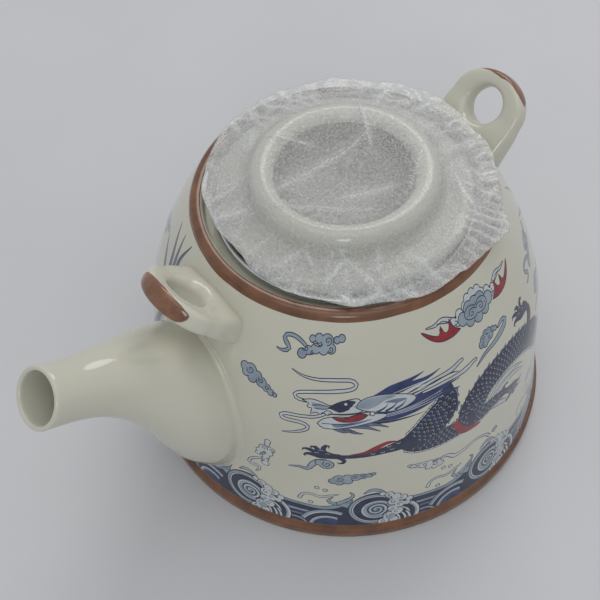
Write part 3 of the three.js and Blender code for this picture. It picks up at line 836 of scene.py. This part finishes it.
def infuser():
    """The rolled rim, the perforated wall and the perforated bottom."""
    rim = [(37.3, 84), (37.9, 84), (37.9, 89.5), *arc(39.3, 91.2, 1.1, -130, 190, 22), (37.6, 90.9),
           (37.3, 90.2)]
    made = lathe("rolled_rim", rim, 160, ["steel"])
    stand_for(made, "infuser_rim", "infuser")
    radius, low, high = 36.4, 42, 88
    girth = 2 * math.pi * radius
    columns, hole = 72, 0.85
    turns = [girth * i / 144 for i in range(145)]
    outline = [(x, low) for x in turns] + [(x, high) for x in turns[::-1]]
    holes = []
    for row in range(13):
        for column in range(columns):
            x = girth * (column + 0.25 + 0.5 * (row % 2)) / columns
            holes.append(arc(x, low + 5 + 2.7 * row, hole, 0, 315, 7))

    def round_wall(flat, depth):
        a = flat[:, 0] / radius
        return np.column_stack([(radius + depth) * np.cos(a), (radius + depth) * np.sin(a), flat[:, 1]])

    perforated("mesh_wall", outline, holes, round_wall, 0.6, "infuser", "infuser_wall")
    disc_r = 36
    holes = []
    for i in range(-12, 13):
        for j in range(-13, 14):
            x, y = 2.8 * (i + 0.5 * (j % 2)), 2.42 * j
            if math.hypot(x, y) < disc_r - 4:
                holes.append(arc(x, y, hole, 0, 315, 7))

    def on_floor(flat, depth):
        dish = 42.1 + 0.5 * np.clip(np.hypot(flat[:, 0], flat[:, 1]) - 33, 0, 3) ** 2 / 3
        return np.column_stack([flat[:, 0], flat[:, 1], dish + depth])

    perforated("mesh_bottom", arc(0, 0, disc_r, 0, 357.5, 143), holes, on_floor, 0.5, "infuser",
               "infuser_bottom")


# ---- Lid ----

LID_FACE_Z = 96.8
FLANGE_R, FLANGE_BORE_R, FLANGE_TOP_Z = 28.8, 21.2, 105.4


def flange_top(steps):
    middle, half = (FLANGE_R + FLANGE_BORE_R) / 2, (FLANGE_R - FLANGE_BORE_R) / 2
    return arc(middle, FLANGE_TOP_Z - half, half, 0, 180, steps)


def lid():
    """The lid and its knob, upside down in the mouth."""
    crown = catmull([(0, 84), (12, 84.8), (28, 88.3), (38.2, 92.2)], 30)
    edge = arc(37.6, 95, 1.8, -20, 90, 10)
    fillet = arc(FLANGE_R + 2.6, LID_FACE_Z + 2.4, 2.4, 270, 188, 8)
    hollow = catmull([(FLANGE_BORE_R - 0.4, 98), (19, 94), (13, 91.3), (0, 90.2)], 20)
    # The hollow inside the flange gets the second material, a dark matt body: partly unglazed clay, partly
    # painted shade that stands in for the shadow in the hollow.
    shell = lathe("glazed_lid", [*crown, *edge, *fillet, *flange_top(16), *hollow], 160, ["lid_glaze",
                                                                                          "bisque_and_painted_shade"],
                  lambda at: int(at[0] < FLANGE_BORE_R + 0.1 and at[1] > 88.5))
    ball = catmull([(0, 60), (7.1, 61.8), (11.5, 69.9), (9.2, 75.9), (6, 78.9), (5.6, 81.4)], 36)
    knob = lathe("glazed_knob", [*ball, (6.4, 83), (8, 83.7), (0, 83.7)], 72, ["lid_glaze"])
    for made, node in [(shell, "lid_shell"), (knob, "lid_knob")]:
        stand_for(made, node, "lid")


# ---- Film wrap ----

# How far the film reaches from the pot's axis, by bearing in degrees from the back of the pot, and the
# bearing of its gathered tail.
FILM_REACH = [(-180, 40.2), (-142, 43.4), (-110, 46), (-30, 47.6), (15, 49.8), (65, 49), (110, 45.2),
              (150, 42.2), (180, 40.2)]
TAIL = math.radians(-62)
# The sheet's thickness.
FILM_THICKNESS = 0.12
# The film over the lid as (radius, height): taut across the hollow, over the flange and out past the edge.
FILM_LINE = [(0, 105), (12, 105.1), (20, 105.5), (25, 105.75), (27.2, 105.2), (28.6, 104), (29.8, 102.2),
             (32, 100), (35.5, 98.3), (38.6, 97.4), (40.2, 96.3), (42.5, 95.4), (47, 95.15), (54, 95.6)]


def creases(chance, count, inner, outer, longest, swing):
    """Straight folds: place, heading, length, width and height. The headings swing about the radial."""
    folds = []
    for _ in range(count):
        bearing, radius = chance.uniform(0, 2 * math.pi), chance.uniform(inner, outer)
        place_x, place_y = radius * math.cos(bearing), radius * math.sin(bearing)
        heading = bearing + chance.gauss(0, swing)
        length = chance.uniform(0.4, 1) * longest
        folds.append((place_x, place_y, heading, length, chance.uniform(0.5, 1.6), chance.uniform(0.35, 1)))
    return folds


def fold_height(x, y, folds):
    """The height of the highest fold at each place, sharp along its crest."""
    height = np.zeros_like(x)
    for cx, cy, heading, long, wide, high in folds:
        u = (x - cx) * math.cos(heading) + (y - cy) * math.sin(heading)
        v = (y - cy) * math.cos(heading) - (x - cx) * math.sin(heading)
        height = np.maximum(height, high * np.exp(-(u / long) ** 4) * np.exp(-np.abs(v) / wide))
    return height


def film():
    """The wrap: one sheet of film drawn over the lid, creased, with its gathered end out over the lip."""
    around, outward = 400, 108
    chance = random.Random(11)
    bearing = np.linspace(0, 2 * math.pi, around, endpoint=False)
    turned = (bearing + math.pi) % (2 * math.pi) - math.pi
    table = np.array(FILM_REACH, float)
    from_tail = np.abs(turned - TAIL)
    reach = np.interp(np.degrees(turned), table[:, 0], table[:, 1]) + 4.6 * np.exp(-(from_tail / 0.13) ** 2)
    reach += 1.6 * np.array([noise.noise(Vector((3.4 * math.cos(a), 3.4 * math.sin(a),
                                                 4.2))) for a in bearing])
    r = np.outer(np.linspace(0, 1, outward + 1)[1:], reach)
    x, y = r * np.cos(bearing), r * np.sin(bearing)
    line = catmull(FILM_LINE, 400)
    z = np.interp(r, line[:, 0], line[:, 1])
    ripple = np.vectorize(lambda a, b, c: noise.noise(Vector((a, b, c))))
    loose = np.clip((r - 28) / 5, 0, 1)
    skirt = np.clip((r - 37) / 5, 0, 1)
    folds = loose * fold_height(x, y, creases(chance, 46, 30, 44, 11, 0.5))
    folds += skirt * fold_height(x, y, creases(chance, 60, 38, 47, 5, 1.2))
    across = fold_height(x, y, creases(chance, 7, 6, 24, 18, 1.2))
    z += 0.9 * folds + 0.22 * across
    z += loose * 0.3 * ripple(x / 7, y / 7, 1.5 + 0 * x)
    z += skirt * 0.3 * np.sin(turned * 23 + 9 * ripple(x / 14, y / 14, 2 + 0 * x))
    tail = np.exp(-(from_tail / 0.17) ** 2) * np.clip((r - 38) / 5, 0, 1)
    z += tail * (1.2 + 2.4 * np.abs((turned * 26 + 0.06 * r) % 2 - 1))
    z = np.maximum(z, np.where(r > 39.6, 95.05, np.where(r > 30.4, 97.1, 0)))
    gather = 0.1 * loose + 0.04 * skirt + 0.45 * folds + 0.3 * across + 0.3 * tail
    centre = [[0, 0, FILM_LINE[0][1]]]
    faces = [face[::-1] for face in rings_to_faces(outward, around)]
    faces += [(k, (k + 1) % around, outward * around) for k in range(around)]
    points = np.concatenate([np.stack([x, y, z], -1).reshape(-1, 3), centre])
    made = new_object("film_sheet", points, faces, ["film"])
    layer = made.data.attributes.new("gather", "FLOAT", "POINT")
    layer.data.foreach_set("value", np.append(gather, 0).astype(np.float32))
    thick = made.modifiers.new("thickness", "SOLIDIFY")
    thick.thickness = FILM_THICKNESS * MM
    thick.offset = 1
    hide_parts("lid_wrap")
    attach(made, "wrap")


# ---- Finishes ----

def shade(name, colour, roughness, **sockets):
    """A material with its shader's own sockets set. Returns its node tree and its shader."""
    material = bpy.data.materials.new(name)
    material.use_nodes = True
    tree = material.node_tree
    shader = tree.nodes["Principled BSDF"]
    shader.inputs["Base Color"].default_value = (*colour, 1)
    shader.inputs["Roughness"].default_value = roughness
    for socket, value in sockets.items():
        shader.inputs[socket.replace("_", " ")].default_value = value
    SHADES[name] = material
    return tree, shader


def add_noise(tree, scale, detail=3, roughness=0.5):
    place_node = tree.nodes.new("ShaderNodeTexCoord")
    texture = tree.nodes.new("ShaderNodeTexNoise")
    texture.inputs["Scale"].default_value = scale
    texture.inputs["Detail"].default_value = detail
    texture.inputs["Roughness"].default_value = roughness
    tree.links.new(place_node.outputs["Object"], texture.inputs["Vector"])
    return texture.outputs["Fac"]


def ramp(tree, value, stops):
    node = tree.nodes.new("ShaderNodeValToRGB")
    elements = node.color_ramp.elements
    while len(elements) < len(stops):
        elements.new(0.5)
    for element, (place_, colour) in zip(elements, stops):
        element.position = place_
        element.color = (*colour, 1)
    tree.links.new(value, node.inputs["Fac"])
    return node.outputs["Color"]


def bumpy(tree, shader, value, strength, distance):
    node = tree.nodes.new("ShaderNodeBump")
    node.inputs["Strength"].default_value = strength
    node.inputs["Distance"].default_value = distance
    tree.links.new(value, node.inputs["Height"])
    tree.links.new(node.outputs["Normal"], shader.inputs["Normal"])


def glazed(name, dark, light, scale, roughness=0.09):
    """A glossy glaze whose colour drifts between two shades."""
    middle = tuple((a + b) / 2 for a, b in zip(dark, light))
    tree, shader = shade(name, middle, roughness, Coat_Weight=0.3, Coat_Roughness=0.05, IOR=1.5)
    colour = ramp(tree, add_noise(tree, scale), [(0.3, dark), (0.7, light)])
    tree.links.new(colour, shader.inputs["Base Color"])
    bumpy(tree, shader, add_noise(tree, 60, 1), 0.25, 0.0004)
    return tree, shader


def finishes():
    glazed("porcelain", (0.565, 0.548, 0.45), (0.605, 0.588, 0.485), 18)
    glazed("lid_glaze", (0.56, 0.55, 0.47), (0.6, 0.59, 0.51), 20)
    glazed("brown", (0.1, 0.036, 0.012), (0.21, 0.085, 0.034), 140, 0.2)
    glazed("ink", (0.006, 0.01, 0.034), (0.016, 0.026, 0.075), 300)
    glazed("cobalt", (0.01, 0.02, 0.085), (0.03, 0.052, 0.17), 300)
    glazed("middle", (0.09, 0.12, 0.21), (0.17, 0.2, 0.3), 220)
    glazed("wash", (0.2, 0.26, 0.32), (0.33, 0.39, 0.43), 160)
    glazed("pale", (0.45, 0.48, 0.5), (0.58, 0.6, 0.58), 160)
    glazed("red", (0.2, 0.006, 0.01), (0.32, 0.012, 0.02), 240)
    glazed("scale", (0.3, 0.35, 0.42), (0.42, 0.47, 0.52), 200)
    tree, shader = glazed("tipped", (0.565, 0.548, 0.45), (0.605, 0.588, 0.485), 18)
    dab = tree.nodes.new("ShaderNodeAttribute")
    dab.attribute_name = "dab"
    waver = tree.nodes.new("ShaderNodeMath")
    waver.operation = "MULTIPLY_ADD"
    waver.inputs[1].default_value = 0.35
    tree.links.new(add_noise(tree, 160, 2), waver.inputs[0])
    tree.links.new(dab.outputs["Fac"], waver.inputs[2])
    mask = ramp(tree, waver.outputs[0], [(0.9, (0, 0, 0)), (0.94, (1, 1, 1))])
    brown = ramp(tree, add_noise(tree, 240, 4), [(0.3, (0.15, 0.06, 0.028)), (0.7, (0.28, 0.13, 0.068))])
    mix = tree.nodes.new("ShaderNodeMix")
    mix.data_type = "RGBA"
    white = shader.inputs["Base Color"].links[0].from_socket
    tree.links.new(mask, mix.inputs["Factor"])
    tree.links.new(white, mix.inputs["A"])
    tree.links.new(brown, mix.inputs["B"])
    tree.links.new(mix.outputs["Result"], shader.inputs["Base Color"])
    tree, shader = shade("steel", (0.62, 0.63, 0.63), 0.26, Metallic=1.0)
    colour = ramp(tree, add_noise(tree, 90, 4), [(0.3, (0.56, 0.57, 0.57)), (0.7, (0.68, 0.69, 0.69))])
    tree.links.new(colour, shader.inputs["Base Color"])
    bumpy(tree, shader, add_noise(tree, 900, 2), 0.1, 0.0001)
    # Dark matt body for the lid's hollow: unglazed clay, made darker still as painted shade for the shadow in
    # the hollow.
    glazed("bisque_and_painted_shade", (0.2, 0.2, 0.17), (0.26, 0.255, 0.22), 60, 0.5)
    tree, shader = shade("film", (0.66, 0.66, 0.64), 0.26, Coat_Weight=0.5, Coat_Roughness=0.1)
    speckle = add_noise(tree, 1500, 2, 0.6)
    colour = ramp(tree, speckle, [(0.35, (0.6, 0.6, 0.58)), (0.65, (0.76, 0.76, 0.74))])
    tree.links.new(colour, shader.inputs["Base Color"])
    slant = tree.nodes.new("ShaderNodeLayerWeight")
    slant.inputs["Blend"].default_value = 0.25
    cloudy = tree.nodes.new("ShaderNodeMath")
    cloudy.operation = "MULTIPLY_ADD"
    cloudy.inputs[1].default_value = 0.5
    thin = ramp(tree, speckle, [(0.35, (0.05, 0.05, 0.05)), (0.68, (0.2, 0.2, 0.2))])
    tree.links.new(slant.outputs["Facing"], cloudy.inputs[0])
    tree.links.new(thin, cloudy.inputs[2])
    gather = tree.nodes.new("ShaderNodeAttribute")
    gather.attribute_name = "gather"
    doubled = tree.nodes.new("ShaderNodeMath")
    doubled.use_clamp = True
    tree.links.new(gather.outputs["Fac"], doubled.inputs[0])
    tree.links.new(cloudy.outputs[0], doubled.inputs[1])
    tree.links.new(doubled.outputs[0], shader.inputs["Alpha"])
    bumpy(tree, shader, add_noise(tree, 260, 2), 0.22, 0.0002)


# ---- Stage ----

def stage():
    floor = bpy.data.meshes.new("floor")
    reach = 3
    floor.from_pydata([(-reach, -reach, 0), (reach, -reach, 0), (reach, reach, 0), (-reach, reach, 0)], [],
                      [(0, 1, 2, 3)])
    tree, shader = shade("table", (0.58, 0.58, 0.59), 0.55)
    colour = ramp(tree, add_noise(tree, 6, 5), [(0.3, (0.56, 0.56, 0.57)), (0.7, (0.6, 0.6, 0.61))])
    tree.links.new(colour, shader.inputs["Base Color"])
    floor.materials.append(SHADES["table"])
    made = bpy.data.objects.new("floor", floor)
    bpy.context.scene.collection.objects.link(made)

    world = bpy.data.worlds.new("room")
    world.use_nodes = True
    world.node_tree.nodes["Background"].inputs["Color"].default_value = (0.93, 0.96, 1, 1)
    world.node_tree.nodes["Background"].inputs["Strength"].default_value = 0.58
    bpy.context.scene.world = world
    for name, place_, size, power, colour in [
            ("window", (1.1, 0.7, 1.5), (1.2, 0.9), 8, (1, 0.98, 0.95)),
            ("ceiling", (-0.2, -0.2, 2.6), (2, 2), 7, (1, 1, 1)),
            ("left", (-1.2, -1.4, 1.3), (0.5, 0.9), 5, (0.95, 0.98, 1))]:
        light = bpy.data.lights.new(name, "AREA")
        light.shape = "ELLIPSE"
        light.size, light.size_y = size
        light.energy = power
        light.color = colour
        lamp = bpy.data.objects.new(name, light)
        lamp.location = place_
        lamp.rotation_euler = (Vector(place_) - Vector((0.02, 0, 0.05))).to_track_quat("Z", "Y").to_euler()
        bpy.context.scene.collection.objects.link(lamp)


def camera():
    eye = Vector((-147.35 + AXIS_X, -172.81, 341.88)) * MM
    ahead = Vector((0.35815, 0.48225, -0.79948))
    aside = Vector((0.77722, -0.62847, -0.03091))
    up = aside.cross(ahead)
    lens = bpy.data.cameras.new("camera")
    lens.lens = 66
    lens.sensor_width = 36
    lens.clip_start = 0.01
    view = bpy.data.objects.new("camera", lens)
    turn = Matrix((aside, up, -ahead)).transposed()
    view.matrix_world = Matrix.Translation(eye) @ turn.to_4x4()
    bpy.context.scene.collection.objects.link(view)
    bpy.context.scene.camera = view


bpy.context.scene.view_settings.view_transform = "Standard"
camera()
finishes()
stage()
pot_body()
spout()
lug("glazed_front_lug", -1)
lug("glazed_rear_lug", 1)
infuser()
lid()
film()
